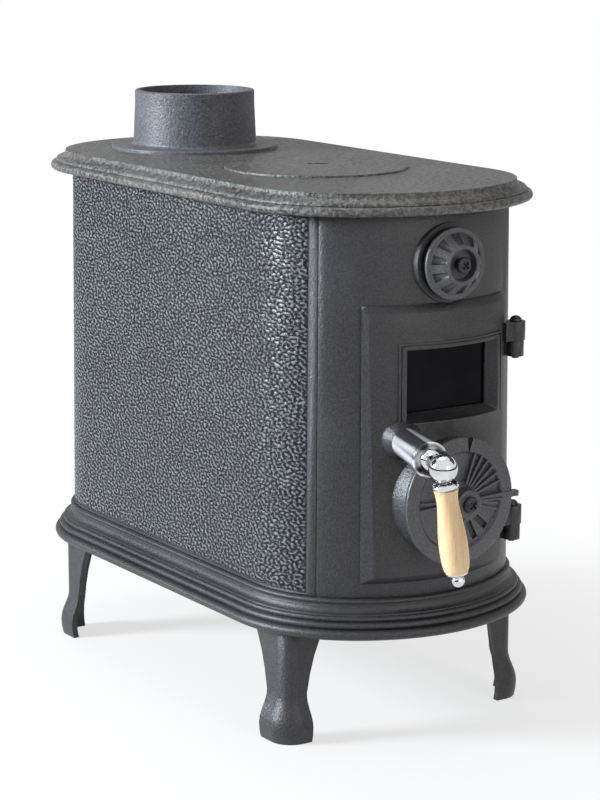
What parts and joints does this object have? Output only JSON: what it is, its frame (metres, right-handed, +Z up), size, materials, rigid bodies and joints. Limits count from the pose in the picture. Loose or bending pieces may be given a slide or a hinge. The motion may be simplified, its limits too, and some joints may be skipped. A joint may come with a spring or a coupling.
{
  "type": "cast-iron box stove",
  "caption": "Cast-iron wood stove on four legs, oval in plan, with hammered sides, a curved glazed door, air controls, a hob lid, a round flue spigot and a chrome and wood handle.",
  "frame": {"origin": "middle of the body in plan, on the floor", "axes": "+Z up; the door faces -Y and the flue is towards +Y; +X is to the right of someone who faces the door"},
  "size_m": [0.294, 0.6733, 0.5488],
  "materials": {
    "cast_iron_body": "matt dark graphite stove paint over sand-cast iron",
    "cast_iron_top": "matt grey graphite over sand-cast iron with a coarser grain",
    "hammered_iron": "matt graphite with a pebbled, hammered field",
    "blackened_steel": "satin black steel",
    "plain_steel": "plain mild steel",
    "bright_chrome": "polished chrome",
    "beech": "turned beech, clear lacquer",
    "rope": "braided glass-fibre rope",
    "dark_glass": "ceramic stove glass, dark in front of an unlit fire"
  },
  "bodies": {
    "stove": {"base_plate": "cast_iron_body", "top_plate": "cast_iron_top", "front_panel": "cast_iron_body", "rear_panel": "cast_iron_body", "left_side_panel": "hammered_iron", "right_side_panel": "hammered_iron", "front_left_leg": "cast_iron_body", "front_right_leg": "cast_iron_body", "rear_left_leg": "cast_iron_body", "rear_right_leg": "cast_iron_body", "leg_bolts": "plain_steel", "tie_rods": "plain_steel", "tie_rod_nuts": "plain_steel", "flue_collar": "cast_iron_top", "flue_collar_screws": "blackened_steel", "fire_grate": "cast_iron_body", "ash_pan": "plain_steel", "baffle_plate": "plain_steel", "hinge_pins": "blackened_steel", "upper_air_screw": "blackened_steel", "upper_air_nut": "plain_steel", "latch_keeper": "plain_steel", "latch_keeper_screws": "plain_steel"},
    "door": {"door": "cast_iron_body", "door_rope_seal": "rope", "window_glass": "dark_glass", "window_gasket": "rope", "window_clips": "plain_steel", "window_clip_screws": "plain_steel", "lower_air_screw": "blackened_steel", "lower_air_nut": "plain_steel"},
    "handle": {"handle_spindle": "plain_steel", "handle_sleeve": "bright_chrome", "handle_ball": "bright_chrome", "handle_ferrule": "bright_chrome", "handle_grip": "beech", "handle_rod": "plain_steel", "handle_end_cap": "bright_chrome", "latch_cam": "plain_steel", "spindle_washer": "plain_steel", "spindle_nut": "plain_steel"},
    "lower_air_disc": {"lower_air_disc": "cast_iron_body"},
    "upper_air_wheel": {"upper_air_wheel": "cast_iron_body"},
    "hob_lid": {"hob_lid": "cast_iron_top"}
  },
  "joints": [
    {"name": "door_swing", "type": "hinge", "parent": "stove", "child": "door", "pos_m": [0.0884, -0.2489, 0.3505], "axis": [0, 0, 1], "range_deg": [0, 110]},
    {"name": "handle_turn", "type": "hinge", "parent": "door", "child": "handle", "pos_m": [-0.0464, -0.26491, 0.2781], "axis": [0.3138, 0.9495, 0], "range_deg": [-90, 25]},
    {"name": "lower_air_turn", "type": "hinge", "parent": "door", "child": "lower_air_disc", "pos_m": [0, -0.28328, 0.222], "axis": [0, -1, 0], "range_deg": [0, 45]},
    {"name": "upper_air_turn", "type": "hinge", "parent": "stove", "child": "upper_air_wheel", "pos_m": [0, -0.26777, 0.4294], "axis": [0, -1, 0], "continuous": true},
    {"name": "hob_lid_lift", "type": "slide", "parent": "stove", "child": "hob_lid", "axis": [0, 0, 1], "range_m": [0, 0.08]}
  ]
}
